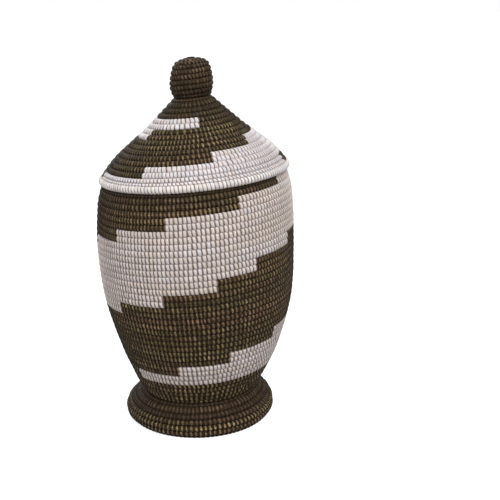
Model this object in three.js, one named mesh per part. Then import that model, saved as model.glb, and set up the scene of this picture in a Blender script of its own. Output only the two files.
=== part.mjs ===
// A tall coiled grass basket on a flared foot, with a conical lid and a ball knob.
// Every wall is one thick rope of grass that climbs one course a turn, lashed over with strips.
// Strips of two colours give a white band that winds round the basket and steps down as it goes.
// Millimetres, +Z up, origin in the middle of the ring that the foot stands on, the front at -Y.
import * as THREE from 'three';

// The basket's outer line, measured over the coils
const waistRadius = 76;
const waistHeight = 40;
const bottomRadius = 87.9;
const bottomHeight = 62;
const lowerRadius = 104.6;
const lowerHeight = 103;
const upperRadius = 120.6;
const upperHeight = 165;
const bellyRadius = 125.2;
const bellyHeight = 235;
const shoulderRadius = 122.7;
const shoulderHeight = 291;
const mouthRadius = 116;
const mouthHeight = 319.5;

// The foot, an open skirt sewn under the waist
const footRadius = 92.6;
const footFlareRadius = 98.2;
const footFlareHeight = 9;
const footSlopeRadius = 93.8;
const footSlopeHeight = 23;

// The coil: one course is one turn of the rope
const courseHeight = 7.8;
const wall = 8;
const groove = 2;
const coilEnd = 0.15; // how thick a tapered coil end still is, as a share of a course
const faceReach = 2; // courses over which a wall turns to meet the flat face at its edge
const seatGap = 0.3; // between pieces that are sewn or set on each other

// The lid: its rim rests on the mouth, its collar drops inside
const rimOverhang = 3.4;
const rimWidth = 10.5;
const rimThickness = 9.6;
const coneSetback = 2.6;
const coneKneeRadius = 97.4;
const coneKneeRise = 21;
const coneMiddleRadius = 61;
const coneMiddleRise = 51;
const neckRadius = 24.4;
const neckRise = 86;
const lidCourseHeight = 8;
const lidWall = 7.5;
const collarDepth = 15;
const collarWall = 7;
const collarClearance = 2;

// The knob, a hollow bulb that opens into the lid
const knobRadius = 27.2;
const knobWaistRise = 17;
const knobShoulderRadius = 21;
const knobShoulderRise = 39.5;
const knobHeight = 47;
const knobCourseHeight = 6.4;
const knobWall = 6.5;

// The knots that the floor's coil and the knob's coil start from
const floorEyeRadius = 7;
const knobEyeRadius = 5.5;

// The basket has settled to the left: its courses drop that way by these shares of the distance,
// the first reached over the foot, the second added up the wall, so the rim sits askew
const footLean = 0.042;
const footLeanHeight = 60;
const wallLean = 0.033;
const wallLeanHeight = 300;
// and the lower wall bulges to the right, most between these heights
const bulge = 4.2;
const bulgeHeight = 90;
const bulgeEndHeight = 120;
const straightHeight = 250;

// Facets round each coil, and the bearing of the seam where turns are counted, at the back
const wallFacets = 28;
const lidFacets = 24;
const smallFacets = 12;
const seam = 90;

// The white band on the wall, in courses and bearings (degrees, -90 is the front).
// Each edge drops two courses at a step; bearings go on falling as the band winds on to the left.
const baseCourses = 5;
const bandTopCourse = 38;
const topBearings = [-40, -67, -107, -139];
const topTailBearings = [-397, -430, -464, -499];
const bandFootCourse = 38;
const footBearings = [119, 90, 61, 32, 3, -26, -56, -80, -109, -142];
const footStrideDegrees = 29;
const footSpareSteps = 8; // more steps of the lower edge, on round the back
const topSpareSteps = 8; // and of the upper edge, spread evenly between the measured ones
const stepCourses = 2;

// The lid's white band starts as a tongue at the front and winds down to the rim
const lidTopCourse = 13;
const lidTongueBearing = -82;
const lidTopBearings = [-310, -354, -398, -436, -484, -529];
const lidFootCourse = 11;
const lidFootBearings = [-148, -197, -253, -308, -372];

const black = new THREE.MeshStandardMaterial({ color: 0x2b221c, roughness: 0.55, metalness: 0 });
const white = new THREE.MeshStandardMaterial({ color: 0xe6dcd8, roughness: 0.5, metalness: 0 });

const point = (radius, height) => new THREE.Vector2(radius, height);
const radians = THREE.MathUtils.degToRad;

// Where a point of a true round basket ends up on this one, which has settled to one side
function settle(x, y, z) {
  const { smoothstep } = THREE.MathUtils;
  const lean = footLean * smoothstep(z, 0, footLeanHeight)
    + wallLean * smoothstep(z, footLeanHeight, wallLeanHeight);
  const aside = bulge * (smoothstep(z, 0, bulgeHeight) - smoothstep(z, bulgeEndHeight, straightHeight));
  return [x + aside, y, z + lean * x];
}

// A coiled wall along an outer line that runs up from its first course to its last.
// Its first and last turns thin out, so both of its edges stay level.
class Coil {
  constructor({ line, course, facets, thickness, firstFace, lastFace, ribbedInside = false }) {
    this.line = line;
    this.facets = facets;
    this.thickness = thickness;
    this.ribbedInside = ribbedInside;
    this.courses = Math.max(2, Math.round(line.getLength() / course));
    this.turns = this.courses + 1;
    this.faces = [firstFace, lastFace];
    this.points = new Map();
  }

  // The height of the groove under the rope, in courses, after so many turns
  climb(turns) {
    const last = this.turns;
    if (turns < 1) return 0;
    if (turns < 2) return THREE.MathUtils.lerp(coilEnd, 1, turns - 1);
    if (turns > last) return last - 1;
    if (turns > last - 1) return THREE.MathUtils.lerp(last - 2, last - 1 - coilEnd, turns - last + 1);
    return turns - 1;
  }

  // A point on the outer line, moved in by a depth across the wall
  section(share, depth) {
    const spot = this.line.getPointAt(share);
    const along = this.line.getTangentAt(share);
    const out = point(along.y, -along.x);
    const [first, last] = this.faces;
    const { smoothstep } = THREE.MathUtils;
    const course = share * this.courses;
    if (first) out.lerp(first, 1 - smoothstep(course, 0, faceReach)).normalize();
    if (last) out.lerp(last, smoothstep(course, this.courses - faceReach, this.courses)).normalize();
    return spot.addScaledVector(out, -depth);
  }

  place(courses, depth, step) {
    const spot = this.section(courses / this.courses, depth);
    const bearing = radians(seam) + (2 * Math.PI * step) / this.facets;
    return settle(spot.x * Math.cos(bearing), spot.x * Math.sin(bearing), spot.y);
  }

  groove(step) { return this.place(this.climb(step / this.facets), groove, step); }
  inside(step) {
    const depth = this.thickness - (this.ribbedInside ? groove : 0);
    return this.place(this.climb(step / this.facets), depth, step);
  }
  crest(step) { return this.ridge(step, 0); }
  insideCrest(step) { return this.ridge(step, this.thickness); }
  ridge(step, depth) {
    const low = this.climb(step / this.facets);
    const high = this.climb(step / this.facets + 1);
    return this.place((low + high) / 2, depth, step);
  }

  // The solid of the rope's cells that one field of lashing covers: covers(turn, bearing) picks them
  field(covers) {
    const total = this.turns * this.facets;
    const lashed = (step) => step >= 0 && step < total
      && covers(Math.floor(step / this.facets), this.bearing(step));
    const positions = [];
    const index = [];
    const known = new Map();
    const vertex = (kind, step) => {
      const key = kind + step;
      if (!known.has(key)) {
        known.set(key, positions.length / 3);
        positions.push(...this[kind](step));
      }
      return known.get(key);
    };
    const face = (...corners) => {
      for (let i = 1; i + 1 < corners.length; i++) index.push(corners[0], corners[i], corners[i + 1]);
    };
    for (let step = 0; step < total; step++) {
      if (!lashed(step)) continue;
      const up = step + this.facets;
      const [a, b, c, d] = [step, step + 1, up + 1, up].map((s) => vertex('groove', s));
      const [ai, bi, ci, di] = [step, step + 1, up + 1, up].map((s) => vertex('inside', s));
      const [e, f] = [step, step + 1].map((s) => vertex('crest', s));
      face(a, b, f, e);
      face(e, f, c, d);
      const [g, h] = this.ribbedInside ? [step, step + 1].map((s) => vertex('insideCrest', s)) : [];
      if (this.ribbedInside) {
        face(ai, g, h, bi);
        face(g, di, ci, h);
      } else {
        face(ai, di, ci, bi);
      }
      if (!lashed(step - this.facets)) face(ai, bi, b, a);
      if (!lashed(up)) face(di, d, c, ci);
      if (!lashed(step - 1)) face(...[e, d, di, g, ai, a].filter((corner) => corner !== undefined));
      if (!lashed(step + 1)) face(...[f, b, bi, h, ci, c].filter((corner) => corner !== undefined));
    }
    const geometry = new THREE.BufferGeometry();
    geometry.setAttribute('position', new THREE.Float32BufferAttribute(positions, 3));
    geometry.setIndex(index);
    geometry.computeVertexNormals();
    return geometry;
  }

  // The bearing of a cell's middle, from just past the seam behind round by the front
  bearing(step) {
    return seam - 360 + ((step % this.facets) + 0.5) * (360 / this.facets);
  }
}

// A turned ring or button from a closed section of radius and height
function turned(section, facets) {
  const geometry = new THREE.LatheGeometry(section, facets);
  geometry.rotateX(Math.PI / 2);
  const spots = geometry.attributes.position;
  for (let i = 0; i < spots.count; i++) {
    spots.setXYZ(i, ...settle(spots.getX(i), spots.getY(i), spots.getZ(i)));
  }
  geometry.computeVertexNormals();
  return geometry;
}

// How many of a band edge's steps a bearing has passed
const passed = (steps, bearing) => steps.filter((turn) => bearing < turn).length;

const spread = (from, to, count) =>
  Array.from({ length: count }, (_, i) => THREE.MathUtils.lerp(from, to, (i + 1) / (count + 1)));

// The wall's white band, unrolled: it passes each bearing up to three times, once a turn
const topSteps = [...topBearings, ...spread(topBearings.at(-1), topTailBearings[0], topSpareSteps), ...topTailBearings];
const footSteps = [...footBearings,
  ...Array.from({ length: footSpareSteps }, (_, i) => footBearings.at(-1) - footStrideDegrees * (i + 1))];
function onBand(turn, bearing) {
  if (turn < baseCourses) return false;
  return [-1, 0, 1].some((pass) => {
    const unrolled = bearing - 360 * pass;
    const course = turn + pass;
    const low = unrolled > footBearings[0] ? Infinity : bandFootCourse - stepCourses * passed(footSteps, unrolled);
    const high = unrolled > topBearings[0] ? Infinity : bandTopCourse - stepCourses * passed(topSteps, unrolled);
    return course >= low && course < high;
  });
}

function onLidBand(turn, bearing) {
  return [0, 1].some((pass) => {
    const unrolled = bearing - 360 * pass;
    const course = turn + pass;
    return unrolled <= lidTongueBearing && course >= lidFootCourse - stepCourses * passed(lidFootBearings, unrolled)
      && course < lidTopCourse - stepCourses * passed(lidTopBearings, unrolled);
  });
}

// The basket's wall, from the waist to the mouth
const level = point(1, 0);
const wallLine = new THREE.SplineCurve([
  point(waistRadius, waistHeight), point(bottomRadius, bottomHeight), point(lowerRadius, lowerHeight),
  point(upperRadius, upperHeight), point(bellyRadius, bellyHeight), point(shoulderRadius, shoulderHeight),
  point(mouthRadius, mouthHeight),
]);
const wallCoil = new Coil({
  line: wallLine, course: courseHeight, facets: wallFacets, thickness: wall, firstFace: level, lastFace: level,
});

// The floor, a flat coil inside the waist, wound out from its knot
const floorLine = new THREE.LineCurve(
  point(floorEyeRadius + seatGap, waistHeight), point(waistRadius - wall - seatGap, waistHeight));
const floorCoil = new Coil({ line: floorLine, course: courseHeight, facets: wallFacets, thickness: wall });

// The foot, flared and turned in a little where it meets the table
const footLine = new THREE.SplineCurve([
  point(footRadius, 0), point(footFlareRadius, footFlareHeight), point(footSlopeRadius, footSlopeHeight),
  point(waistRadius, waistHeight - seatGap),
]);
const footCoil = new Coil({
  line: footLine, course: courseHeight, facets: wallFacets, thickness: wall, firstFace: level, lastFace: level,
  ribbedInside: true,
});

// The lid's rim course and the cone that rises from it
const rimRadius = mouthRadius + rimOverhang;
const rimBottom = mouthHeight + seatGap;
const rimTop = rimBottom + rimThickness;
const coneBottom = rimTop + seatGap;
const neckHeight = coneBottom + neckRise;
const coneLine = new THREE.SplineCurve([
  point(rimRadius - coneSetback, coneBottom), point(coneKneeRadius, coneBottom + coneKneeRise),
  point(coneMiddleRadius, coneBottom + coneMiddleRise), point(neckRadius, neckHeight),
]);
const lidCoil = new Coil({
  line: coneLine, course: lidCourseHeight, facets: lidFacets, thickness: lidWall, firstFace: level, lastFace: level,
});

// The rim course is a thicker rope, round on the outside
const rimBulge = new THREE.EllipseCurve(
  rimRadius - rimThickness / 2, (rimBottom + rimTop) / 2, rimThickness / 2, rimThickness / 2, -Math.PI / 2, Math.PI / 2);
const rimSection = [
  point(rimRadius - rimWidth, rimBottom), ...rimBulge.getPoints(5),
  point(rimRadius - rimWidth, rimTop), point(rimRadius - rimWidth, rimBottom),
];

// The collar, short courses sewn under the cone, that finds the mouth from inside
const collarBottom = mouthHeight - collarDepth;
const boreAbove = (height) => Math.min(...Array.from({ length: 4 * wallCoil.courses + 1 }, (_, i) =>
  wallCoil.section(i / (4 * wallCoil.courses), wall)).filter((spot) => spot.y > height).map((spot) => spot.x));
const collarRadius = boreAbove(collarBottom) - collarClearance;
function underCone(radius) {
  const heights = [];
  for (let step = 0; step < lidCoil.facets * lidCoil.turns; step++) {
    const [low, high] = [step, step + lidCoil.facets]
      .map((s) => lidCoil.section(lidCoil.climb(s / lidCoil.facets) / lidCoil.courses, lidWall));
    if (low.x >= radius && high.x < radius) {
      heights.push(THREE.MathUtils.mapLinear(radius, low.x, high.x, low.y, high.y));
    }
  }
  return Math.min(...heights) - seatGap;
}
const collarTop = underCone(collarRadius);
const collarCourses = Math.max(1, Math.round((collarTop - collarBottom) / courseHeight));
const collarSection = [
  point(collarRadius - collarWall, collarTop), point(collarRadius - collarWall, collarBottom),
  point(collarRadius - groove, collarBottom),
];
for (let i = 0; i < collarCourses; i++) {
  const rise = (collarTop - collarBottom) / collarCourses;
  collarSection.push(point(collarRadius, collarBottom + (i + 0.5) * rise));
  collarSection.push(point(collarRadius - (i + 1 < collarCourses ? groove : 0), collarBottom + (i + 1) * rise));
}
collarSection.push(collarSection[0]);

// The knob, coiled in from the neck to a knot on top
const knobBottom = neckHeight + seatGap;
const knobTop = knobBottom + knobHeight;
const knobLine = new THREE.SplineCurve([
  point(neckRadius, knobBottom), point(knobRadius, knobBottom + knobWaistRise),
  point(knobShoulderRadius, knobBottom + knobShoulderRise), point(knobEyeRadius + seatGap, knobTop),
]);
const knobCoil = new Coil({
  line: knobLine, course: knobCourseHeight, facets: smallFacets, thickness: knobWall,
  firstFace: level, lastFace: point(0, 1),
});

const eye = (radius, bottom, top, crown) => [
  point(0, bottom), point(radius, bottom), point(radius, top), point(radius * 0.6, top + crown), point(0, top + crown),
];

const pieces = [
  ['floor_eye', black, turned(eye(floorEyeRadius, waistHeight, waistHeight + wall, 0), smallFacets)],
  ['floor_coil', black, floorCoil.field(() => true)],
  ['foot_coil', black, footCoil.field(() => true)],
  ['base_courses', black, wallCoil.field((turn) => turn < baseCourses)],
  ['wall_black', black, wallCoil.field((turn, bearing) => turn >= baseCourses && !onBand(turn, bearing))],
  ['wall_white', white, wallCoil.field(onBand)],
  ['lid_rim', white, turned(rimSection, lidFacets)],
  ['lid_white', white, lidCoil.field(onLidBand)],
  ['lid_black', black, lidCoil.field((turn, bearing) => !onLidBand(turn, bearing))],
  ['lid_collar', black, turned(collarSection, lidFacets)],
  ['knob_coil', black, knobCoil.field(() => true)],
  ['knob_eye', black, turned(eye(knobEyeRadius, knobTop - knobWall, knobTop - groove, groove), smallFacets)],
];

const basket = new THREE.Group();
for (const [name, material, geometry] of pieces) {
  const mesh = new THREE.Mesh(geometry, material);
  mesh.name = name;
  basket.add(mesh);
}

export default basket;
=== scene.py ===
# %% [markdown]
# # A lidded basket of lashed coils
# The real thing is one thick rope of grass, wound up course by course from the floor to the mouth, and
# lashed to the course below with over eight thousand short stitches of flat strip. Black and white strips
# change places at steps, so a white band winds round the basket and down. The foot, the lid, the collar
# inside it and the knob are made the same way. This file builds what the hand builds: a rope that follows
# a rule, and a stitch that repeats along it. Both are Geometry Nodes trees; numpy only says where each
# stitch sits, because lining stitches up in columns from course to course needs the course before.

# %% Load the frame
import math

import bpy
import numpy as np
from mathutils import Matrix, Vector


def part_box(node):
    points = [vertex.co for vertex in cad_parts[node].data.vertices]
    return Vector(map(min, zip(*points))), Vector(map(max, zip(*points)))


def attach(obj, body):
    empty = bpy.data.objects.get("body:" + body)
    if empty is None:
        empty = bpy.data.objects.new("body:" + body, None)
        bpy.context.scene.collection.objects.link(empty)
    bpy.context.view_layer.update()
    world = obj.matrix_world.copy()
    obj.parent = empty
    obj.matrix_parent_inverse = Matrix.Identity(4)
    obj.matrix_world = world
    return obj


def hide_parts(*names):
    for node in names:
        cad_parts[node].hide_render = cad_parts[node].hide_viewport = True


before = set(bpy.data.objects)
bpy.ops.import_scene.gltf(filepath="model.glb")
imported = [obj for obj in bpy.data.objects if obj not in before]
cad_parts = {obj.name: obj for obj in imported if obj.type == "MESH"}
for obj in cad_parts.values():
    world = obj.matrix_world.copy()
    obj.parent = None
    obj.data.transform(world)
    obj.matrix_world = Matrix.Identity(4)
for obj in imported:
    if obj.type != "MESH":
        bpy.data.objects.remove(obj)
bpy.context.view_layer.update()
print("nodes:", ", ".join(sorted(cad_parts)))

# %% [markdown]
# ## The camera
# The photograph looks down on the basket a little, from in front. A camera can be placed by eye, but then
# every outline is slightly off. The place of this one was worked out from the rings of the basket: how far
# each ring's ellipse opens says how high the camera stood, and how fast the rings shrink says how near. The
# basket stands left of the picture's middle, so the camera looks a little past it.

# %% Camera
def in_scene(name, data):
    """An object that holds the data, linked to the scene."""
    made = bpy.data.objects.new(name, data)
    bpy.context.scene.collection.objects.link(made)
    return made


look_sideways, look_down, tilt = 0.0618, 0.2715, -0.0086  # radians
camera_place = (0, -1.1178, 0.5296)  # metres
sensor_width, lens = 36, 64.8  # millimetres, as lenses are sold
forward = Vector((math.sin(look_sideways) * math.cos(look_down),
                  math.cos(look_sideways) * math.cos(look_down), -math.sin(look_down)))
level = Vector((math.cos(look_sideways), -math.sin(look_sideways), 0))
over = level.cross(forward)
right = math.cos(tilt) * level + math.sin(tilt) * over
up = math.cos(tilt) * over - math.sin(tilt) * level

camera = in_scene("camera", bpy.data.cameras.new("camera"))
camera.data.sensor_width = sensor_width
camera.data.lens = lens
turn = Matrix((right, up, -forward)).transposed().to_4x4()
camera.matrix_world = Matrix.Translation(camera_place) @ turn
bpy.context.scene.camera = camera
bpy.context.scene.view_settings.view_transform = "Standard"
print("camera", [round(v, 3) for v in camera.location], "lens", camera.data.lens)

# %% [markdown]
# ## The basket's outline
# The wall, foot, cone and knob are each one smooth line from edge to edge, turned round the axis. The
# outline could be traced point by point, but a maker draws a long even curve by hand, so a few points and a
# smooth line through them come closer. They are the radii and heights that the solid model is built on, so
# the rope lies where the solids are. Only the rim, the cone's foot and the knob are drawn a little finer.
# Then the whole basket settles to one side, as soft ones do.

# %% Sizes and the smooth line through them
# In millimetres
waist_radius, waist_rise = 76, 40
mouth_radius, mouth_rise = 116, 319.5
neck_radius, cone_rise, knob_rise = 23.6, 86, 47
wall_thickness = 8
rim_overhang, rim_height = 3.4, 9.6
sewn_gap = 0.3  # between pieces that are sewn to each other or rest on each other

# In metres, as everything from here on
MM = 0.001
rim_radius, rim_bottom = (mouth_radius + rim_overhang) * MM, (mouth_rise + sewn_gap) * MM
rim_top = rim_bottom + rim_height * MM
cone_bottom = rim_top + sewn_gap * MM
neck_height = cone_bottom + cone_rise * MM
knob_bottom = neck_height + sewn_gap * MM
knob_top = knob_bottom + knob_rise * MM

wall_points = np.array([(waist_radius, waist_rise), (87.9, 62), (104.6, 103), (120.6, 165), (125.2, 235),
                        (122.7, 291), (mouth_radius, mouth_rise)]) * MM
foot_points = np.array([(92.6, 0), (98.2, 9), (93.8, 23), (waist_radius, waist_rise - sewn_gap)]) * MM
floor_points = np.array([(7.3, waist_rise), (waist_radius - wall_thickness - sewn_gap, waist_rise)]) * MM
# The cone starts a little under the top of the rim's solid, because the rim's rope is drawn thinner
cone_points = np.array([(116.8, -1.4), (97.4, 21), (61, 51), (neck_radius, cone_rise)]) * MM
cone_points += (0, cone_bottom)
knob_points = np.array([(neck_radius, 0), (27, 17), (21.2, 40.5), (5.8, knob_rise)]) * MM
knob_points += (0, knob_bottom)


def smooth_line(points, samples=300):
    """A curve through the points whose slope at each is that between its neighbours."""
    pieces = []
    for i in range(len(points) - 1):
        before, here = points[max(i - 1, 0)], points[i]
        there, after = points[i + 1], points[min(i + 2, len(points) - 1)]
        leave, arrive = (there - before) / 2, (after - here) / 2
        w = np.linspace(0, 1, samples, endpoint=i == len(points) - 2)[:, None]
        pieces.append((2 * here - 2 * there + leave + arrive) * w**3
                      + (-3 * here + 3 * there - 2 * leave - arrive) * w**2 + leave * w + here)
    return np.vstack(pieces)


def ease(value, low, high):
    """From 0 under the low value to 1 over the high one, softly at both."""
    w = np.clip((value - low) / (high - low), 0, 1)
    return w * w * (3 - 2 * w)


foot_lean, wall_lean = 0.042, 0.033  # how much lower the left lies, over the distance from the axis
bulge, knob_shift = 4.2 * MM, 0.9 * MM  # to the right and to the left
foot_leans, wall_leans = (0, 60 * MM), (60 * MM, 300 * MM)  # from which height to which it comes in
bulge_starts, bulge_ends = (0, 90 * MM), (120 * MM, 250 * MM)
knob_shifts = (neck_height - 5 * MM, knob_bottom + 12 * MM)


def settle(x, y, z):
    """Where a point of a true round basket ends up on this one, which has settled to one side."""
    lean = foot_lean * ease(z, *foot_leans) + wall_lean * ease(z, *wall_leans)
    aside = bulge * (ease(z, *bulge_starts) - ease(z, *bulge_ends)) - knob_shift * ease(z, *knob_shifts)
    return np.stack([x + aside, y, z + lean * x], -1)


line = smooth_line(wall_points)
print("wall line", round(float(np.hypot(*np.diff(line, axis=0).T).sum()) * 1000, 1), "mm long")

# %% [markdown]
# ## The coil
# A coil is a rope that rises one course in each turn. Rings set on each other would be simpler, but on the
# real thing each course runs on into the next, and the band's steps wind down with it. The first and last
# turns thin to a tail, so that the basket has level edges. Everything else is asked of the coil as: after
# so many turns, where is the rope's middle, which way is out of the wall and how far to its face, and which
# way is up and how far to the next course? The answer comes as three vectors, because the wall leans,
# curves and settles. The rim's thick course and the two knots do close on themselves, so they are rings.

# %% The coil
SEAM = 90  # the bearing where turns are counted, at the back
TAIL = 0.15  # how thick the rope still is where it ends, as a share of a course


class Coil:
    """A rope wound up along a line. Its first and last courses may be told which way to face."""

    def __init__(self, points, course, thickness, first=None, last=None):
        self.line = smooth_line(points)
        self.distance = np.concatenate([[0], np.cumsum(np.hypot(*np.diff(self.line, axis=0).T))])
        self.length = self.distance[-1]
        self.courses = max(2, round(self.length / course))
        self.turns = self.courses + 1
        self.thickness = thickness
        self.faces = (first, last)
        slope = np.gradient(self.line, self.distance, axis=0)
        self.slope = slope / np.linalg.norm(slope, axis=1)[:, None]

    def climb(self, turns):
        """How many courses lie under the rope after so many turns."""
        last = self.turns
        tail_in = TAIL + (1 - TAIL) * (turns - 1)
        tail_out = last - 2 + (1 - TAIL) * (turns - last + 1)
        return np.select([turns < 1, turns < 2, turns > last, turns > last - 1],
                         [0, tail_in, last - 1, tail_out], turns - 1)

    def place(self, courses, depth, bearing):
        """The point so many courses up and so deep in the wall, at a bearing in degrees."""
        run = np.clip(courses / self.courses, 0, 1) * self.length
        spot = [np.interp(run, self.distance, self.line[:, k]) for k in (0, 1)]
        along = [np.interp(run, self.distance, self.slope[:, k]) for k in (0, 1)]
        out = np.stack([along[1], -along[0]], -1)
        shares = (1 - ease(courses, 0, 2), ease(courses, self.courses - 2, self.courses))
        for face, share in zip(self.faces, shares):
            if face:
                out = out * (1 - share[..., None]) + np.array(face) * share[..., None]
                out /= np.linalg.norm(out, axis=-1, keepdims=True)
        radius, height = spot[0] - out[..., 0] * depth, spot[1] - out[..., 1] * depth
        return settle(radius * np.cos(np.radians(bearing)), radius * np.sin(np.radians(bearing)), height)

    def frames(self, turns):
        """Middle, out-to-the-face and up-to-the-groove vectors of the rope after so many turns."""
        bearing = SEAM + 360 * turns
        low, high = self.climb(turns), self.climb(turns + 1)
        under, over = (self.place(groove, self.thickness / 2, bearing) for groove in (low, high))
        centre, rise = (under + over) / 2, (over - under) / 2
        out = self.place((low + high) / 2, 0, bearing) - centre
        tail = np.clip(high - low, 0, 1)
        # No bundle of grass is even: this one swells and thins a little, some 4 and some 10 times a turn
        swell = 1 + 0.02 * np.sin(23.7 * turns) + 0.015 * np.sin(61.3 * turns + 1)
        return centre, out * (tail**0.2 * swell)[:, None], rise


class Ring:
    """A rope that closes on itself: one course of a given radius, height and section."""

    def __init__(self, radius, height, half_width, half_height):
        self.radius, self.height = radius, height
        self.half_width, self.half_height = half_width, half_height
        self.turns = 1

    def frames(self, turns):
        b = np.radians(SEAM + 360 * turns)
        zero = np.zeros_like(b)
        centre, face = (settle(r * np.cos(b), r * np.sin(b), zero + self.height)
                        for r in (self.radius, self.radius + self.half_width))
        return centre, face - centre, np.stack([zero, zero, zero + self.half_height], -1)


facing_out, facing_up = (1, 0), (0, 1)
course_height = 7.8 * MM
wall = Coil(wall_points, course_height, wall_thickness * MM, facing_out, facing_out)
foot = Coil(foot_points, course_height, wall_thickness * MM, facing_out, facing_out)
floor = Coil(floor_points, course_height, wall_thickness * MM)
cone = Coil(cone_points, 8 * MM, 7.5 * MM, facing_out, facing_out)
knob = Coil(knob_points, 6.4 * MM, 6.5 * MM, facing_out, facing_up)
rim_half_width, rim_half_height = 4.9 * MM, 4.2 * MM
rim = Ring(rim_radius - rim_half_width, rim_bottom + rim_half_height, rim_half_width, rim_half_height)
for name, coil in (("wall", wall), ("foot", foot), ("floor", floor), ("cone", cone), ("knob", knob)):
    print(name, coil.courses, "courses of", round(coil.length / coil.courses * 1000, 2), "mm")

# %% [markdown]
# ## The pattern
# One white band winds round the wall. Seen unrolled, its top and its foot are two staircases that go down
# to the left, two courses at a step; the wall shows it up to three times, once for each time it passes.
# The lid has its own band, which starts as a tongue at the front and winds round and down to the rim. The
# pattern could be a picture laid over the wall, but then its edges would cut through stitches. On the real
# basket a stitch is black or white as a whole, so here each stitch asks: am I on the band?

# %% Which stitches are white
# The bearings of the steps, in degrees along the unrolled band: those of the front as they are seen
# there, and between them, round the back, evenly spaced ones
top_steps = [-31, -66, -107, *np.linspace(-139, -397, 10), -430, -467, -505]
foot_steps = [119, 90, 61, 32, 3, -26, -56, -80, -109, *(-142 - 29 * i for i in range(9))]
lid_top_steps = [-310, -354, -398, -436, -484, -529]
lid_foot_steps = [-148, -197, -253, -308, -372]
base_courses = 5  # under the pattern

# A band's tip, the courses that it lies between there, and its two staircases. The wall's comes to a point
# at the mouth, and the lid's starts as a tongue two courses high
wall_band = (foot_steps[0], (38, 38), foot_steps, top_steps)
lid_band = (-82, (11, 13), lid_foot_steps, lid_top_steps)


def passed(steps, bearing):
    """How many courses the staircase has gone down by this bearing, two at a step."""
    return 2 * sum(bearing < step for step in steps)


def on_band(band, turn, bearing):
    """Does the band, the first or another time round, cover this turn at this bearing from -270 to 90?"""
    tip, (low, high), foot_down, top_down = band
    for again in (-1, 0, 1):
        unrolled, course = bearing - 360 * again, turn + again
        lowest, over_top = low - passed(foot_down, unrolled), high - passed(top_down, unrolled)
        if unrolled <= tip and lowest <= course < over_top:
            return True
    return False


def white_on_wall(turn, bearing):
    return turn >= base_courses and on_band(wall_band, turn, bearing)


def white_on_lid(turn, bearing):
    return on_band(lid_band, turn, bearing)


print("across the front, course by course from the top:",
      "".join("W" if white_on_wall(t, -90) else "b" for t in range(wall.turns - 1, -1, -1)))

# %% [markdown]
# ## Where each stitch sits
# A stitch is sewn through the one below it, so stitches stand in columns from course to course. Where the
# basket widens, the maker now and then sews two stitches into one, and where it narrows, skips one. So
# each turn starts from the bearings of the turn before, doubles or drops a few at random, and then the
# spacing evens itself out over a few rounds, as it does under the hand. Stitches spread evenly along the
# whole rope would be easier, but would stand in no columns and make no clean steps.

# %% Stitch columns
EVENING_ROUNDS = 14
EVENING, STAYING = 0.4, 0.08  # the share of the way that a stitch moves in a round: to the middle, and back
WOBBLE = 0.035  # of the space between two stitches


def columns(coil, pitch, seed, bare_start=0.2, bare_end=0.2):
    """Turn counts of all the stitches of a coil, in order, in columns from turn to turn.

    The rope's first bare_start turns and its last bare_end turns carry no stitches.
    """
    hand = np.random.default_rng(seed)
    shares, sewn = None, []
    for turn in range(coil.turns):
        # The way round the rope's face, measured in 72 short lines
        centre, out, rise = coil.frames(turn + np.linspace(0, 1, 73))
        round_length = np.linalg.norm(np.diff(centre + out, axis=0), axis=1).sum()
        wanted = max(6, round(round_length / (pitch(turn / coil.turns) if callable(pitch) else pitch)))
        if shares is None:
            shares = (np.arange(wanted) + 0.5) / wanted
        while len(shares) != wanted:
            spaces = np.diff(np.append(shares, shares[0] + 1))
            if len(shares) < wanted:
                at = hand.choice(np.argsort(spaces)[-max(3, len(shares) // 3):])
                shares = np.insert(shares, at + 1, shares[at] + spaces[at] / 2)
            else:
                shares = np.delete(shares, hand.choice(np.argsort(spaces)[:max(3, len(shares) // 3)]))
            shares = np.sort(shares % 1)
        kept = shares.copy()
        for _ in range(EVENING_ROUNDS):
            before = np.append(shares[-1] - 1, shares[:-1])
            after = np.append(shares[1:], shares[0] + 1)
            shares = shares + EVENING * ((before + after) / 2 - shares) + STAYING * (kept - shares)
        shares = np.sort(shares % 1)
        sewn.append(turn + shares + hand.normal(0, WOBBLE / wanted, wanted))
    sewn = np.concatenate(sewn)
    return np.sort(sewn[(sewn > bare_start) & (sewn < coil.turns - bare_end)])


def wall_pitch(share):
    """Stitches are furthest apart at the foot of the wall, and closest at its top."""
    return float(np.interp(share, [0, 0.13, 0.2, 0.42, 0.6, 1], [6.2, 5.6, 5.4, 5.65, 5.15, 5.0])) * MM


wall_stitches = columns(wall, wall_pitch, 11, bare_start=0.25, bare_end=0.25)
print("stitches on the wall:", len(wall_stitches))

# %% [markdown]
# ## Two small helpers for node trees
# Node trees can be drawn by hand in the editor, but a script that builds them can be read and changed. A
# bench holds a tree while it is being wired. It takes numbers or other nodes' outputs alike, so a sum reads
# like a sum. The same bench wires Geometry Nodes and materials, and new_tree starts a group of either kind.

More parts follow.
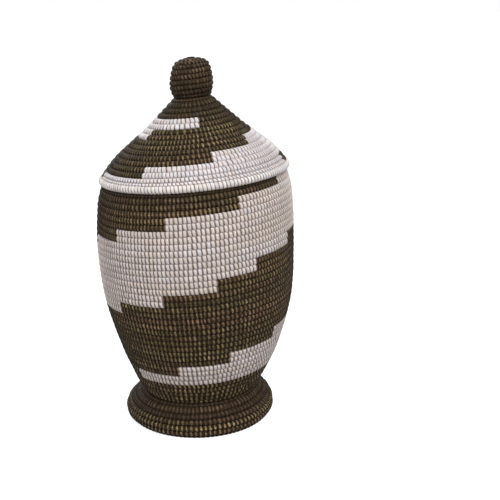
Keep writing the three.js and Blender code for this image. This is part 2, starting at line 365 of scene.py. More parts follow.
# %% The bench
class Bench:
    """A node tree that is being wired."""

    def __init__(self, tree):
        self.tree = tree

    def add(self, kind, wires=None, **settings):
        made = self.tree.nodes.new(kind)
        for name, value in settings.items():
            setattr(made, name, value)
        for name, value in (wires or {}).items():
            self.feed(self.socket(made.inputs, name), value)
        return made

    def socket(self, sockets, name):
        if isinstance(name, int):
            return sockets[name]
        return next(s for s in sockets if s.name == name and s.enabled)

    def feed(self, socket, value):
        if isinstance(value, bpy.types.NodeSocket):
            self.tree.links.new(value, socket)
        else:
            socket.default_value = value

    def sum(self, operation, *values):
        return self.add("ShaderNodeMath", dict(enumerate(values)), operation=operation).outputs[0]

    def plus(self, one, other):
        return self.sum("ADD", one, other)

    def minus(self, one, other):
        return self.sum("SUBTRACT", one, other)

    def times(self, one, other):
        return self.sum("MULTIPLY", one, other)

    def vector(self, operation, *values):
        made = self.add("ShaderNodeVectorMath", operation=operation)
        for i, value in enumerate(values):
            scaled = operation == "SCALE" and i == 1
            self.feed(made.inputs["Scale"] if scaled else made.inputs[i], value)
        return made.outputs["Value" if operation == "LENGTH" else "Vector"]

    def joined(self, x, y, z=0):
        return self.add("ShaderNodeCombineXYZ", {"X": x, "Y": y, "Z": z}).outputs[0]

    def parts(self, vector):
        return self.add("ShaderNodeSeparateXYZ", {"Vector": vector}).outputs

    def read(self, name, kind="FLOAT_VECTOR"):
        made = self.add("GeometryNodeInputNamedAttribute", {"Name": name}, data_type=kind)
        return self.socket(made.outputs, "Attribute")

    def store(self, geometry, name, value, kind="FLOAT_VECTOR", domain="POINT"):
        wires = {"Geometry": geometry, "Name": name, "Value": value}
        return self.add("GeometryNodeStoreNamedAttribute", wires, data_type=kind, domain=domain).outputs[0]

    def squared_off(self, wave, roundness):
        """A sine or cosine, drawn out towards a square's where the roundness is under 1."""
        size = self.sum("POWER", self.sum("ABSOLUTE", wave), roundness)
        return self.times(size, self.sum("SIGN", wave))


def new_tree(kind, name, inputs, outputs):
    """A named tree with its bench, what comes in and where results go. Inputs say what they start at."""
    tree = bpy.data.node_groups.new(name, kind)
    for label, (holds, start) in inputs.items():
        socket = tree.interface.new_socket(label, in_out="INPUT", socket_type="NodeSocket" + holds)
        if start is not None:
            socket.default_value = start
    for label, holds in outputs.items():
        tree.interface.new_socket(label, in_out="OUTPUT", socket_type="NodeSocket" + holds)
    bench = Bench(tree)
    return tree, bench, bench.add("NodeGroupInput").outputs, bench.add("NodeGroupOutput").inputs


print("a bench for wiring trees is ready")

# %% [markdown]
# ## Laying the rope
# The rope is a bundle of grass stems, bound as it is sewn. It could be a curve with a bevel, but a bevel
# stays round, and here the section leans and swells with the wall. So the path comes in as a row of points
# that carry out, up, how far along they are and how the grass looks there. The tree makes a flat grid, as
# long as the path and as wide as the rope is round, and moves each of its points to its place round the
# section. The section is a circle squared off a little, because tight courses press each other flat.

# %% Rope tree
PRESSED = 1.02  # the rope is this much taller than its course, so that courses are pressed together
STEM_CIRCLE = 4 * MM  # the radius at which the grass finish lays its stems round the rope
ROW_MARGIN, MARGIN = 0.01, 0.05  # what stays free at the ends and at the sides of each strip of the map


def rope_tree():
    tree, b, given, made = new_tree("GeometryNodeTree", "lay_rope", {
        "Geometry": ("Geometry", None), "Sides": ("Int", 10), "Roundness": ("Float", 0.9),
        "Depth share": ("Float", 0.8), "Rows": ("Float", 1.0), "Material": ("Material", None)},
        {"Geometry": "Geometry"})
    path = given["Geometry"]
    count = b.add("GeometryNodeAttributeDomainSize", {"Geometry": path}).outputs["Point Count"]
    wide = b.plus(given["Sides"], 1)
    grid = b.add("GeometryNodeMeshGrid", {"Vertices X": count, "Vertices Y": wide})
    grid = b.store(grid.outputs["Mesh"], "OFBake", b.socket(grid.outputs, "UV Map"), "FLOAT2", "CORNER")
    index = b.add("GeometryNodeInputIndex").outputs[0]
    station = b.sum("FLOOR", b.sum("DIVIDE", b.plus(index, 0.5), wide))
    side = b.minus(index, b.times(station, wide))

    def carried(value):
        sample = b.add("GeometryNodeSampleIndex", {"Geometry": path, "Value": value, "Index": station},
                       data_type="FLOAT_VECTOR", domain="POINT")
        return b.socket(sample.outputs, "Value")

    angle = b.times(b.sum("DIVIDE", side, given["Sides"]), 2 * math.pi)
    across = b.squared_off(b.sum("COSINE", angle), given["Roundness"])
    rising = b.squared_off(b.sum("SINE", angle), given["Roundness"])
    deep = b.times(across, given["Depth share"])
    out = b.vector("SCALE", carried(b.read("out")), deep)
    rise = b.vector("SCALE", carried(b.read("rise")), b.times(rising, PRESSED))
    middle = carried(b.add("GeometryNodeInputPosition").outputs[0])
    spot = b.vector("ADD", middle, b.vector("ADD", out, rise))
    shaped = b.add("GeometryNodeSetPosition", {"Geometry": grid, "Position": spot}).outputs[0]
    lying = b.vector("MULTIPLY", carried(b.read("along")), (1, 0, 0))
    round_stem = b.joined(0, b.times(across, STEM_CIRCLE), b.times(rising, STEM_CIRCLE))
    marked = b.store(shaped, "lie", b.vector("ADD", lying, round_stem))
    runs = b.store(marked, "run", carried(b.read("run")))
    merged = b.add("GeometryNodeMergeByDistance", {"Geometry": runs, "Distance": 1e-6}).outputs[0]
    smooth = b.add("GeometryNodeSetShadeSmooth", {"Geometry": merged, "Shade Smooth": True}).outputs[0]
    real = b.add("GeometryNodeRealizeInstances", {"Geometry": smooth}).outputs[0]
    # The rope is far too long and thin for a square map, so each turn gets a row of the map
    parts = b.parts(b.read("OFBake"))
    run_on = b.times(parts["X"], given["Rows"])
    facewise = b.add("GeometryNodeFieldOnDomain", {"Value": run_on}, data_type="FLOAT", domain="FACE")
    row = b.sum("FLOOR", b.socket(facewise.outputs, "Value"))
    lengthwise = b.plus(ROW_MARGIN, b.times(b.minus(run_on, row), 1 - 2 * ROW_MARGIN))
    crosswise = b.plus(MARGIN, b.times(parts["Y"], 1 - 2 * MARGIN))
    crosswise = b.sum("DIVIDE", b.plus(row, crosswise), given["Rows"])
    laid = b.store(real, "OFBake", b.joined(lengthwise, crosswise), "FLOAT2", "CORNER")
    coated = b.add("GeometryNodeSetMaterial", {"Geometry": laid, "Material": given["Material"]})
    b.feed(made["Geometry"], coated.outputs[0])
    return tree


lay_rope = rope_tree()
print("rope tree:", len(lay_rope.nodes), "nodes")

# %% [markdown]
# ## Lashing it
# A stitch is a flat strip that goes once round the rope. Thousands of them modelled one by one would never
# be finished, and painted on as bumps they would look smooth at the basket's edge. So one stitch is a closed
# band of three dozen faces, crowned in the middle, pulled wide where it dives between courses, and slanted
# because the strip moves on as it goes round. The tree shapes it on a little grid and sets a copy at each
# point that comes in. Then it measures every corner of each copy off along that point's own out and up,
# which need not be square to each other where the wall leans, and gives each its own width and twist.

# %% Stitch tree
FACEWARD = 0.35  # how much closer the band's corners stand on the face of the wall, where they are seen
CROWN_ON_TOP = 0.6  # how much of the crown is left where the strip passes over and under the rope
SHARP_FOLD = 1.3  # radians


def stitch_tree():
    tree, b, given, made = new_tree("GeometryNodeTree", "lash_rope", {
        "Geometry": ("Geometry", None), "Strip width": ("Float", 0.5), "Crown": ("Float", 0.18),
        "Spread": ("Float", 0.5), "Slant": ("Float", 0.2), "Roundness": ("Float", 0.9),
        "Steps round": ("Int", 12), "Unevenness": ("Float", 0.08), "Cells": ("Float", 1.0),
        "Seed": ("Int", 1), "Material": ("Material", None)}, {"Geometry": "Geometry"})
    wide = b.plus(given["Steps round"], 1)
    grid = b.add("GeometryNodeMeshGrid", {"Vertices X": 4, "Vertices Y": wide})
    flat = b.store(grid.outputs["Mesh"], "strip", b.socket(grid.outputs, "UV Map"), "FLOAT2", "CORNER")
    index = b.add("GeometryNodeInputIndex").outputs[0]
    corner = b.sum("FLOOR", b.sum("DIVIDE", b.plus(index, 0.5), wide))
    step = b.minus(index, b.times(corner, wide))
    even = b.times(b.sum("DIVIDE", step, given["Steps round"]), 2 * math.pi)
    angle = b.minus(even, b.times(b.sum("SINE", even), FACEWARD))
    closing = b.sum("MODULO", corner, 3)
    crowned = b.sum("COMPARE", closing, 1, 0.1)
    across = b.times(b.minus(closing, 1), 0.5)
    outward, upward = b.sum("COSINE", angle), b.sum("SINE", angle)
    spread = b.plus(1, b.times(given["Spread"], b.sum("ABSOLUTE", upward)))
    y = b.squared_off(outward, given["Roundness"])
    z = b.squared_off(upward, given["Roundness"])
    lift = b.times(crowned, given["Crown"])
    deep = b.plus(b.minus(1, given["Crown"]), lift)
    tall = b.plus(1.0, b.times(lift, CROWN_ON_TOP))
    x = b.plus(b.times(across, spread), b.times(z, given["Slant"]))
    spot = b.joined(x, b.times(y, deep), b.times(z, tall))
    bent = b.add("GeometryNodeSetPosition", {"Geometry": flat, "Position": spot}).outputs[0]
    band = b.add("GeometryNodeMergeByDistance", {"Geometry": bent, "Distance": 1e-4}).outputs[0]
    band = b.add("GeometryNodeSetShadeSmooth", {"Geometry": band, "Shade Smooth": True}).outputs[0]
    fold = b.add("GeometryNodeInputMeshEdgeAngle").outputs["Unsigned Angle"]
    band = b.store(band, "sharp_edge", b.sum("GREATER_THAN", fold, SHARP_FOLD), "BOOLEAN", "EDGE")
    band = b.store(band, "corner", b.add("GeometryNodeInputPosition").outputs[0])

    def chance(shift):
        wires = {"Min": -1.0, "Max": 1.0, "Seed": b.plus(given["Seed"], shift)}
        value = b.add("FunctionNodeRandomValue", wires, data_type="FLOAT")
        return b.times(b.socket(value.outputs, "Value"), given["Unevenness"])

    width = b.times(b.times(b.read("space", "FLOAT"), given["Strip width"]), b.plus(1, chance(7)))
    own = b.joined(width, chance(0))
    spots = b.store(given["Geometry"], "middle", b.add("GeometryNodeInputPosition").outputs[0])
    spots = b.store(spots, "own", own)
    sewn = b.add("GeometryNodeInstanceOnPoints", {"Points": spots, "Instance": band}).outputs[0]
    copies = b.add("GeometryNodeRealizeInstances", {"Geometry": sewn}).outputs[0]
    out, rise = b.read("out"), b.read("rise")
    onward = b.vector("NORMALIZE", b.vector("CROSS_PRODUCT", out, rise))
    side, deep, high = b.parts(b.read("corner"))
    broad, twist, _ = b.parts(b.read("own"))
    leaning = b.times(b.times(high, twist), b.vector("LENGTH", rise))
    run = b.plus(b.times(side, broad), leaning)
    reach = b.vector("ADD", b.vector("SCALE", out, deep), b.vector("SCALE", rise, high))
    spot = b.vector("ADD", b.vector("ADD", b.read("middle"), reach), b.vector("SCALE", onward, run))
    bound = b.add("GeometryNodeSetPosition", {"Geometry": copies, "Position": spot}).outputs[0]
    real = b.add("GeometryNodeRealizeInstances", {"Geometry": bound}).outputs[0]
    local = b.vector("ADD", b.vector("SCALE", b.read("strip"), 1 - 2 * MARGIN), (MARGIN, MARGIN, 0))
    cell = b.vector("DIVIDE", b.vector("ADD", b.read("cell"), local), given["Cells"])
    laid = b.store(real, "OFBake", cell, "FLOAT2", "CORNER")
    coated = b.add("GeometryNodeSetMaterial", {"Geometry": laid, "Material": given["Material"]})
    b.feed(made["Geometry"], coated.outputs[0])
    return tree


lash_rope = stitch_tree()
print("stitch tree:", len(lash_rope.nodes), "nodes")

# %% [markdown]
# ## Finishes
# Three things show: white strip, black strip and the grass between them. The strips are thin flat bands,
# satin, with faint lines along them, greyer where they dive into the grooves, for dirt and painted shade, and
# no two the same white.
# The grass is straw-brown stems that run along the rope. A picture of each could be wrapped round the
# basket, but it would repeat and blur close by. One group makes the lines and stems for all three instead: a
# noise that is stretched far along one direction. It reads the piece's own coordinates, which the trees
# stored while shaping it, so the grain follows every bend.

# %% Shared grain
def grain_group():
    tree, b, given, made = new_tree(
        "ShaderNodeTree", "grain", {"Place": ("Vector", None), "Stretch": ("Vector", (1, 1, 1))},
        {"Lines": "Float", "Patches": "Float"})
    drawn = b.vector("MULTIPLY", given["Place"], given["Stretch"])
    fine = b.add("ShaderNodeTexNoise", {"Vector": drawn, "Scale": 1.0, "Detail": 3.0, "Roughness": 0.55})
    broad = b.add("ShaderNodeTexNoise", {"Vector": drawn, "Scale": 0.17, "Detail": 2.0, "Roughness": 0.5})
    b.feed(made["Lines"], fine.outputs[0])
    b.feed(made["Patches"], broad.outputs[0])
    return tree


def groove_group():
    """Dirt and painted shade gather where a strip dives between two courses."""
    tree, b, given, made = new_tree(
        "ShaderNodeTree", "groove_dust_and_shade", {"Strip": ("Vector", None), "Lines": ("Float", 0.5)},
        {"Dust and shade": "Float"})
    parts = b.parts(given["Strip"])
    facing = b.sum("ABSOLUTE", b.sum("COSINE", b.times(parts["Y"], 2 * math.pi)))
    ragged = b.plus(facing, b.times(b.minus(given["Lines"], 0.5), 0.5))
    reach = b.add("ShaderNodeMapRange", {"Value": ragged, "From Min": 0.1, "From Max": 0.75,
                                         "To Min": 1.0, "To Max": 0.0}, interpolation_type="SMOOTHSTEP")
    b.feed(made["Dust and shade"], reach.outputs[0])
    return tree


grain, groove_dust_and_shade = grain_group(), groove_group()
print("groups:", grain.name, groove_dust_and_shade.name)

# %% [markdown]
# ## The strips' finish
# Colour varies in two ways. A maker uses up one strip after another, so a run of ten or thirty stitches
# shares a tint; and each stitch catches a little more or less dirt. A noise in space would let both run
# across stitches, so both numbers come with the stitch. The tint picks a colour from a ramp, and the dirt
# dims it.

# %% Strip finishes
def ramp(bench, factor, stops):
    made = bench.add("ShaderNodeValToRGB", {"Fac": factor})
    elements = made.color_ramp.elements
    while len(elements) < len(stops):
        elements.new(0.5)
    for element, (at, colour) in zip(elements, stops):
        element.position, element.color = at, (*colour, 1)
    return made.outputs["Color"]


def mixed(bench, factor, a, b, blend="MIX"):
    made = bench.add("ShaderNodeMix", data_type="RGBA", blend_type=blend)
    for name, value in (("Factor", factor), ("A", a), ("B", b)):
        if isinstance(value, tuple):
            value = (*value, 1)
        bench.feed(bench.socket(made.inputs, name), value)
    return bench.socket(made.outputs, "Result")


def dimmed(bench, colour, level):
    """A colour times a number that changes over the surface."""
    return mixed(bench, 1.0, colour, bench.joined(level, level, level), "MULTIPLY")


def placed_group(bench, group, **inputs):
    """A shared group, placed in a material with values of its own."""
    return bench.add("ShaderNodeGroup", inputs, node_tree=group)


SHEEN_ROUGHNESS = 0.35


def finish(name, roughness, specular, sheen):
    material = bpy.data.materials.new(name)
    material.use_nodes = True
    skin = material.node_tree.nodes["Principled BSDF"].inputs
    skin["Roughness"].default_value = roughness
    skin["Specular IOR Level"].default_value = specular
    skin["Sheen Weight"].default_value = sheen
    skin["Sheen Roughness"].default_value = SHEEN_ROUGHNESS
    return material, Bench(material.node_tree), skin


def strip_finish(name, tints, spread, dust_and_shade_colour, dust_and_shade_strength, roughness, specular, sheen):
    """Spread says how far dirt dims or lifts a stitch, and the grooves' strength how much dirt and painted
    shade lie in them.
    """
    material, b, skin = finish(name, roughness, specular, sheen)
    lash = b.add("ShaderNodeAttribute", attribute_name="lash").outputs["Vector"]
    tint, shade, _ = b.parts(lash)
    strip = b.add("ShaderNodeUVMap", uv_map="strip").outputs["UV"]
    place = b.vector("ADD", strip, b.vector("SCALE", lash, 7.3))  # so each stitch has lines of its own
    lines = placed_group(b, grain, Place=place, Stretch=(22, 2.2, 9))
    dust_and_shade = placed_group(b, groove_dust_and_shade, Strip=strip, Lines=lines.outputs["Lines"])
    level = b.plus(1 - spread, b.times(shade, 2 * spread))
    level = b.times(level, b.plus(0.93, b.times(lines.outputs["Lines"], 0.14)))
    colour = dimmed(b, ramp(b, tint, tints), level)
    # The grooves go towards one grey: dirt that gathers there, and painted shade
    colour = mixed(b, b.times(dust_and_shade.outputs["Dust and shade"], dust_and_shade_strength), colour, dust_and_shade_colour)
    b.feed(skin["Base Color"], colour)
    # Patches lie round a half, so the faces are about as rough as was asked, and the grooves are rougher
    rough = b.plus(roughness - 0.08, b.times(lines.outputs["Patches"], 0.2))
    b.feed(skin["Roughness"], b.plus(rough, b.times(dust_and_shade.outputs["Dust and shade"], 0.2)))
    bump = b.add("ShaderNodeBump", {"Height": lines.outputs["Lines"], "Strength": 0.35, "Distance": 0.0003})
    b.feed(skin["Normal"], bump.outputs["Normal"])
    return material


# The whites go from sandy over pinkish and bluish to creamy, and the blacks from near black to brown
white_tints = ((0, (0.68, 0.60, 0.54)), (0.3, (0.67, 0.59, 0.56)), (0.5, (0.69, 0.625, 0.625)),
               (0.7, (0.69, 0.66, 0.69)), (0.85, (0.78, 0.73, 0.72)), (1, (0.84, 0.77, 0.73)))
black_tints = ((0, (0.019, 0.012, 0.005)), (0.4, (0.028, 0.016, 0.006)), (0.7, (0.020, 0.015, 0.006)),
               (1, (0.032, 0.017, 0.008)))
# Both strips go grey in the grooves, for dirt and painted shade, the black far more than the white
white_strip = strip_finish("white_strip", white_tints, spread=0.09, dust_and_shade_colour=(0.42, 0.36, 0.35), dust_and_shade_strength=0.14,
                           roughness=0.5, specular=0.25, sheen=0)
black_strip = strip_finish("black_strip", black_tints, spread=0.3, dust_and_shade_colour=(0.009, 0.006, 0.003), dust_and_shade_strength=0.5,
                           roughness=0.5, specular=0.09, sheen=0.05)
print("strips:", white_strip.name, black_strip.name)

# %% [markdown]
# ## The grass
# Dry stems, some straw-yellow, some brown, a few nearly red, lie side by side along the rope. Each could be
# a thread of its own, but they are about a millimetre thick and show only between stitches, so colour and
# bump do for them; the rope's round form is real geometry. Between white strips the stems are painted greyer
# and more even than between black ones, as painted shade for those narrow gaps. The grass is also painted
# brighter in some courses and darker in others, as painted light and shade.

# %% Grass finish
straw = ((0.28, (0.04, 0.026, 0.012)), (0.45, (0.15, 0.112, 0.052)), (0.62, (0.28, 0.215, 0.105)),
         (0.78, (0.42, 0.34, 0.19)))
ruddy = ((0.28, (0.04, 0.02, 0.012)), (0.5, (0.16, 0.088, 0.056)), (0.75, (0.30, 0.195, 0.135)))
# Painted shade for the narrow gaps between white strips: the grey their grass goes towards, and how far
painted_gap_shade, gap_shade_share = (0.25, 0.19, 0.175), 0.75  # what it goes towards under white strips, and how far


def grass_finish():
    material, b, skin = finish("grass", roughness=0.7, specular=0.2, sheen=0.05)
    lie = b.add("ShaderNodeAttribute", attribute_name="lie").outputs["Vector"]
    stems = placed_group(b, grain, Place=lie, Stretch=(45, 900, 900))
    beads = placed_group(b, grain, Place=lie, Stretch=(210, 90, 90))
    run = b.add("ShaderNodeAttribute", attribute_name="run").outputs["Vector"]
    # The run carries warmth, the painted light and shade, and where the painted gap shade goes
    warmth, light, gap_shade_mask = b.parts(run)
    colour = mixed(b, warmth, ramp(b, stems.outputs["Lines"], straw), ramp(b, stems.outputs["Lines"], ruddy))
    bead = b.add("ShaderNodeMapRange", {"Value": beads.outputs["Lines"], "From Min": 0.3, "From Max": 0.7,
                                        "To Min": 0.35, "To Max": 1.35}).outputs[0]
    # The random beads, dimmed and lifted course by course by the painted light and shade
    colour = dimmed(b, colour, b.times(bead, light))
    # Painted shade: grass in the narrow gaps between white strips goes towards a grey
    colour = mixed(b, b.times(gap_shade_mask, gap_shade_share), colour, painted_gap_shade)
    b.feed(skin["Base Color"], colour)
    bump = b.add("ShaderNodeBump", {"Height": stems.outputs["Lines"], "Strength": 0.7, "Distance": 0.0005})
    b.feed(skin["Normal"], bump.outputs["Normal"])
    return material


grass = grass_finish()
print("grass:", grass.name)

# %% [markdown]
# ## Turning points into pieces
# Both trees start from bare points with facts attached. One helper makes such a mesh, runs a tree on it
# with the given sizes, and keeps the result as a plain mesh with no modifier left on it. Two more lay a
# coil's rope and lash it: they work out each point's facts with numpy, which is easier to read than the same
# sums in nodes. The last does both for a coil with no pattern.

# %% Points, trees and pieces
def grown(name, spots, facts, tree, **sizes):
    """What a tree makes of bare points that carry facts, as an object with a plain mesh."""
    mesh = bpy.data.meshes.new(name)
    mesh.from_pydata(spots.tolist(), [], [])
    for label, values in facts.items():
        values = np.asarray(values, np.float32)
        kind, slot = ("FLOAT_VECTOR", "vector") if values.ndim == 2 else ("FLOAT", "value")
        mesh.attributes.new(label, kind, "POINT").data.foreach_set(slot, values.ravel())
    seedling = in_scene(name, mesh)
    modifier = seedling.modifiers.new(tree.name, "NODES")
    modifier.node_group = tree
    wires = {s.name: s.identifier for s in tree.interface.items_tree if s.in_out == "INPUT"}
    for label, value in sizes.items():
        modifier[wires[label.replace("_", " ")]] = value
    view = bpy.context.evaluated_depsgraph_get()
    made = bpy.data.meshes.new_from_object(seedling.evaluated_get(view), preserve_all_data_layers=True,
                                           depsgraph=view)
    bpy.data.objects.remove(seedling)
    bpy.data.meshes.remove(mesh)
    made.name = name
    return in_scene(name, made)


def keep(piece, body, slot, *nodes):
    """The piece moves with its body and stands for the solids named; the slot is not used."""
    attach(piece, body)
    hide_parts(*nodes)
    triangles = sum(len(p.vertices) - 2 for p in piece.data.polygons)
    print(f"{piece.name}: {triangles} triangles")


def stood(piece, height):
    """The piece with its lowest corners pressed flat at a height, as where it stands on a table."""
    spots = np.empty(3 * len(piece.data.vertices))
    piece.data.vertices.foreach_get("co", spots)
    spots[2::3] = np.maximum(spots[2::3], height)
    piece.data.vertices.foreach_set("co", spots)
    return piece


def wandering(count, spacing, hand):
    """A smooth random number from 0 to 1 along a row, with a new value about every so many places."""
    knots = hand.random(max(4, int(count / spacing) + 3))
    return np.interp(np.arange(count) / spacing, np.arange(len(knots)), knots)


def compass(turns):
    """The bearing of each stitch, from -270 behind round by the front, -90, to 90 behind again."""
    return -270 + 360 * (turns % 1)


def spaced(count):
    """So many stitches, evenly spaced round a ring."""
    return (np.arange(count) + 0.5) / count


def lay(name, coil, steps, seed, white=None, light=((0, 1),), red=((0, 0),), patch=0.5, **sizes):
    """The rope of a coil, as one piece, with so many steps in a turn.

    White, given a turn and a bearing, says whether the rope runs under white strips there, where its grass is
    greyed as painted shade. Light and red say, at shares of the coil, how bright its grass is painted, as
    painted light and shade, and how much redder than usual, and patch is how many metres of rope go by before
    its redness has changed. Its brightness changes twice as fast.
    """
    turns = np.linspace(0, coil.turns, coil.turns * steps + 1)
    centre, out, rise = coil.frames(turns)
    hand = np.random.default_rng(seed)
    run = np.zeros((len(turns), 3))
    length = np.concatenate([[0], np.cumsum(np.linalg.norm(np.diff(centre, axis=0), axis=1))])
    every = max(1, patch / (length[-1] / len(turns)))
    share = turns / coil.turns
    run[:, 0] = np.clip(wandering(len(turns), every, hand) + np.interp(share, *zip(*red)), 0, 1)
    # Brightness: a random wander, times the painted light and shade asked for
    run[:, 1] = (0.5 + wandering(len(turns), every / 2, hand)) * np.interp(share, *zip(*light))
    # Where the rope runs under white strips, its grass gets the painted gap shade
    if white:
        run[:, 2] = [white(t, b) for t, b in zip(np.floor(turns).astype(int), compass(turns))]
    along = np.stack([length, 0 * length, 0 * length], -1)
    return grown(name, centre, dict(out=out, rise=rise, along=along, run=run), lay_rope,
                 Rows=float(coil.turns), Material=grass, **sizes)


STRIP_STITCHES = (7, 30)  # the fewest stitches that one strip makes, and one more than the most
TINT_SPREAD, SHADE_SPREAD = 0.1, 0.17  # from stitch to stitch within a strip


def lash(name, coil, turns, material, seed, chosen=True, tint=(0, 1), **sizes):
    """The stitches of a coil, or the chosen ones, as one piece, in one stretch of the finish's tints."""
    centre, out, rise = coil.frames(turns)
    apart = np.linalg.norm(np.diff(centre + out, axis=0), axis=1)
    space = (np.append(apart, apart[-1]) + np.insert(apart, 0, apart[0])) / 2
    hand = np.random.default_rng(seed)
    count = len(turns)
    strip_of = np.searchsorted(np.cumsum(hand.integers(*STRIP_STITCHES, count)), np.arange(count))
    tints = hand.uniform(*tint, count)[strip_of] + hand.normal(0, TINT_SPREAD, count)
    shades = 0.25 + 0.5 * hand.random(count)[strip_of] + hand.normal(0, SHADE_SPREAD, count)
    own = np.stack([np.clip(tints, 0, 1), np.clip(shades, 0, 1), hand.random(count)], -1)
    picked = np.broadcast_to(chosen, count)
    number = np.arange(picked.sum())
    side = math.ceil(math.sqrt(len(number)))
    cell = np.stack([number % side, number // side, 0 * number], -1)
    facts = dict(out=out[picked], rise=rise[picked], space=space[picked], lash=own[picked], cell=cell)
    return grown(name, centre[picked], facts, lash_rope, Cells=float(side), Seed=seed, Material=material,
                 **sizes)


def wind(name, coil, steps, seeds, stitches, body, node, **sizes):
    """A plain coil, black all over: its rope and its strips, which stand for one solid together."""
    rope_seed, strip_seed = seeds
    keep(lay(name + "_rope", coil, steps, rope_seed), body, "grass", node)
    keep(lash(name + "_strips", coil, stitches, black_strip, strip_seed, **sizes), body, "black_strip", node)


print("helpers ready")

# %% [markdown]
# ## The wall
# The wall is one rope from the waist to the mouth. Each field of strips could have its own stretch of rope,
# but the real rope runs on under all of them, so it is one piece under three sets of stitches: the five base
# courses, the black fields and the white band. The white strips are wider, and show less grass. The grass is
# painted darker near the mouth, as painted shade under the rim, and a little brighter low on the wall.

# %% Wall
wall_turn, wall_bearing = np.floor(wall_stitches).astype(int), compass(wall_stitches)
base = wall_turn < base_courses
banded = np.array([white_on_wall(t, b) for t, b in zip(wall_turn, wall_bearing)])
# Painted light and shade on the grass: a little brighter low on the wall, darker in the rim's shade at the
# mouth
wall_painted_light = ((0, 1.2), (0.12, 1.15), (0.2, 1.05), (0.92, 1.0), (0.95, 0.75), (0.975, 0.4))
# Under the white band the grass gets the painted gap shade
wall_rope = lay("wall_rope", wall, 120, seed=1, white=white_on_wall, light=wall_painted_light,
                red=((0, -0.15),), Roundness=0.8)
keep(wall_rope, "basket", "grass", "base_courses", "wall_black", "wall_white")
base_strips = lash("base_strips", wall, wall_stitches, black_strip, 21, base)
keep(base_strips, "basket", "black_strip", "base_courses")
wall_black_strips = lash("wall_black_strips", wall, wall_stitches, black_strip, 22, ~base & ~banded)
keep(wall_black_strips, "basket", "black_strip", "wall_black")
wall_white_strips = lash("wall_white_strips", wall, wall_stitches, white_strip, 23, banded, (0.1, 0.48),
                         Strip_width=0.6, Spread=0.15, Roundness=0.68)
keep(wall_white_strips, "basket", "white_strip", "wall_white")

# %% [markdown]
# ## The foot and the floor
# The foot is a short flared coil sewn under the waist, lashed in black, with its stitches further apart. The
# floor is a flat coil wound out from a knot. Neither has a pattern, so each is one rope and one set of
# stitches, by the same two helpers as the wall. The foot's lowest corners are pressed flat, where it stands.

# %% Foot and floor
foot_stitches = columns(foot, 5.9 * MM, 12)
# Painted light and shade on the grass: the low rows brighter, the upper rows darker and redder, as in the
# shade under the body
foot_painted_light = ((0, 1.1), (0.3, 1.25), (0.45, 0.9), (0.6, 0.5), (1, 0.42))
foot_red = ((0, -0.2), (0.45, 0), (0.7, 0.6))
foot_rope = lay("foot_rope", foot, 100, seed=2, light=foot_painted_light, red=foot_red)
keep(stood(foot_rope, 0.3 * MM), "basket", "grass", "foot_coil")
foot_strips = lash("foot_strips", foot, foot_stitches, black_strip, 24, Strip_width=0.52)
keep(stood(foot_strips, 0), "basket", "black_strip", "foot_coil")

wind("floor", floor, 60, (3, 25), columns(floor, 5.6 * MM, 13), "basket", "floor_coil")
knot_radius, knot_height = 3.5 * MM, 4 * MM
floor_knot = Ring(knot_radius, waist_rise * MM + knot_height, knot_radius, knot_height)
wind("floor_knot", floor_knot, 32, (4, 26), spaced(8), "basket", "floor_eye", Strip_width=0.8)

# %% [markdown]
# ## The lid
# The lid is a thick rim course lashed closely in white, the cone that rises from it, and under the cone a
# collar that finds the mouth from inside. A cone turned in one go would look right from afar, but its
# courses show as steps against the light, so it is wound as the wall is. The collar's size comes from its
# solid, less what the leaning adds to that solid's box.

# %% Lid
# The rim's grass all lies between white strips, so all of it gets the painted gap shade
keep(lay("rim_rope", rim, 150, seed=5, white=lambda turn, bearing: True), "lid", "grass", "lid_rim")
rim_strips = lash("rim_strips", rim, spaced(160), white_strip, 27, True, (0.8, 1), Strip_width=0.76,
                  Spread=0.06)
keep(rim_strips, "lid", "white_strip", "lid_rim")

cone_stitches = columns(cone, 4.8 * MM, 14, bare_start=0.25)
cone_turn, cone_bearing = np.floor(cone_stitches).astype(int), compass(cone_stitches)
lid_banded = np.array([white_on_lid(t, b) for t, b in zip(cone_turn, cone_bearing)])
# Painted shade: the grass darkens towards the neck; under the white band it also gets the painted gap shade
lid_rope = lay("lid_rope", cone, 100, seed=6, white=white_on_lid, light=((0, 1), (0.6, 1), (0.8, 0.4)),
               red=((0, -0.3),), Roundness=1.0)
keep(lid_rope, "lid", "grass", "lid_white", "lid_black")
lid_white_strips = lash("lid_white_strips", cone, cone_stitches, white_strip, 28, lid_banded, (0.46, 0.72),
                        Strip_width=0.7, Spread=0.15, Roundness=1.0)
keep(lid_white_strips, "lid", "white_strip", "lid_white")
lid_black_strips = lash("lid_black_strips", cone, cone_stitches, black_strip, 29, ~lid_banded,
                        Strip_width=0.55, Roundness=1.0)
keep(lid_black_strips, "lid", "black_strip", "lid_black")

collar_low, collar_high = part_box("lid_collar")
collar_radius = (collar_high.x - collar_low.x) / 2
leaning = (foot_lean + wall_lean) * collar_radius
collar_line = np.array([(collar_radius, collar_low.z + leaning), (collar_radius, collar_high.z - leaning)])
collar = Coil(collar_line, course_height, 7 * MM)
wind("collar", collar, 100, (7, 30), columns(collar, 5.4 * MM, 15), "lid", "lid_collar")

# %% [markdown]
# ## The knob
# The knob is a bulb coiled up from the neck and closed over with a knot, whose strips run out from the
# middle. A ball with bumps would do from afar, but the knob is what a hand takes hold of. So it is wound and
# lashed too, in thinner rope, with stitches that slant and differ more, as they do on so tight a bend.

# %% Knob
knob_stitches = columns(knob, 4.9 * MM, 16)
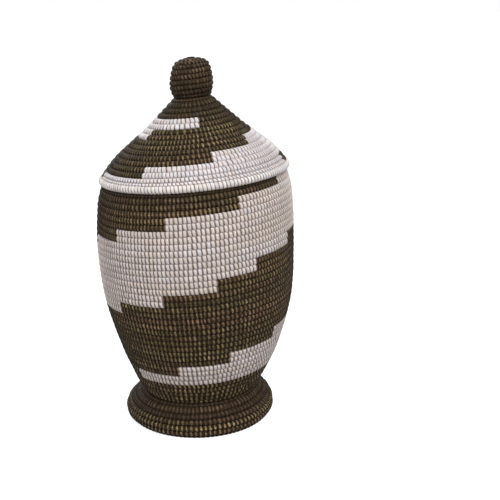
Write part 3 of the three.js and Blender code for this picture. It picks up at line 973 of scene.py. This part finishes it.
# Painted shade: the grass is darkest at the neck and lighter towards the top
knob_rope = lay("knob_rope", knob, 48, seed=8, light=((0, 0.3), (0.4, 0.55), (0.8, 0.75)), red=((0, 0.1),),
                patch=0.01, Roundness=0.8)
keep(knob_rope, "lid", "grass", "knob_coil")
knob_strips = lash("knob_strips", knob, knob_stitches, black_strip, 31, Spread=0.2, Roundness=0.8,
                   Slant=0.35, Unevenness=0.2)
keep(knob_strips, "lid", "black_strip", "knob_coil")
knot_radius, knot_height = 2.75 * MM, 3.2 * MM
knob_knot = Ring(knot_radius, knob_top - knot_height, knot_radius, knot_height)
wind("knob_knot", knob_knot, 32, (9, 32), spaced(7), "lid", "knob_eye", Strip_width=0.8)

# %% [markdown]
# ## The studio
# The photograph was taken on white. A white wall behind would throw light on the basket, so here is a pale
# floor under a sky that is white only to the camera and in reflections, with one wide soft lamp above and
# in front and a weaker one at each side and behind. They are set so that a colour renders about as written.

# %% Floor, lamps and sky
FLOOR_REACH = 30  # metres to each side
FLOOR_GLOW = 0.85  # to the camera alone
ROOM_LIGHT = 0.36  # the sky's strength on the basket, where 1 is white
LAMP_AIM = Vector((0, 0, 0.22))  # the middle of the basket


def stage_floor():
    mesh = bpy.data.meshes.new("studio_floor")
    corners = [(x * FLOOR_REACH, y * FLOOR_REACH, 0) for x, y in ((-1, -1), (1, -1), (1, 1), (-1, 1))]
    mesh.from_pydata(corners, [], [(0, 1, 2, 3)])
    plane = in_scene("studio_floor", mesh)
    material, b, skin = finish("studio_floor", roughness=0.9, specular=0.1, sheen=0)
    skin["Base Color"].default_value = (0.5, 0.5, 0.5, 1)
    seen = b.add("ShaderNodeLightPath").outputs["Is Camera Ray"]
    glow = b.add("ShaderNodeEmission", {"Color": (1, 1, 1, 1), "Strength": b.times(seen, FLOOR_GLOW)})
    nodes = material.node_tree.nodes
    both = b.add("ShaderNodeAddShader", {0: nodes["Principled BSDF"].outputs[0], 1: glow.outputs[0]})
    b.feed(nodes["Material Output"].inputs["Surface"], both.outputs[0])
    mesh.materials.append(material)


def lamp(name, place, size, power):
    light = bpy.data.lights.new(name, "AREA")
    light.shape, light.size, light.energy = "DISK", size, power
    made = in_scene(name, light)
    made.location = place
    made.rotation_euler = (LAMP_AIM - Vector(place)).to_track_quat("-Z", "Y").to_euler()


stage_floor()
lamp("top_front", (0.35, -1.5, 2.0), 1.4, 38)
lamp("left_side", (-2.0, -0.9, 1.0), 1.2, 7.5)
lamp("right_side", (1.3, -0.3, 2.1), 1.2, 9)
lamp("behind", (-0.7, 2.1, 1.3), 1.6, 16)

world = bpy.data.worlds.new("studio")
bpy.context.scene.world = world
world.use_nodes = True
sky = Bench(world.node_tree)
path = sky.add("ShaderNodeLightPath").outputs
mirrored = sky.sum("MAXIMUM", path["Is Camera Ray"], sky.sum("MAXIMUM", path["Is Glossy Ray"],
                                                            path["Is Transmission Ray"]))
strength = sky.plus(ROOM_LIGHT, sky.times(mirrored, 1 - ROOM_LIGHT))
sky.feed(world.node_tree.nodes["Background"].inputs["Strength"], strength)
world.node_tree.nodes["Background"].inputs["Color"].default_value = (1, 1, 1, 1)
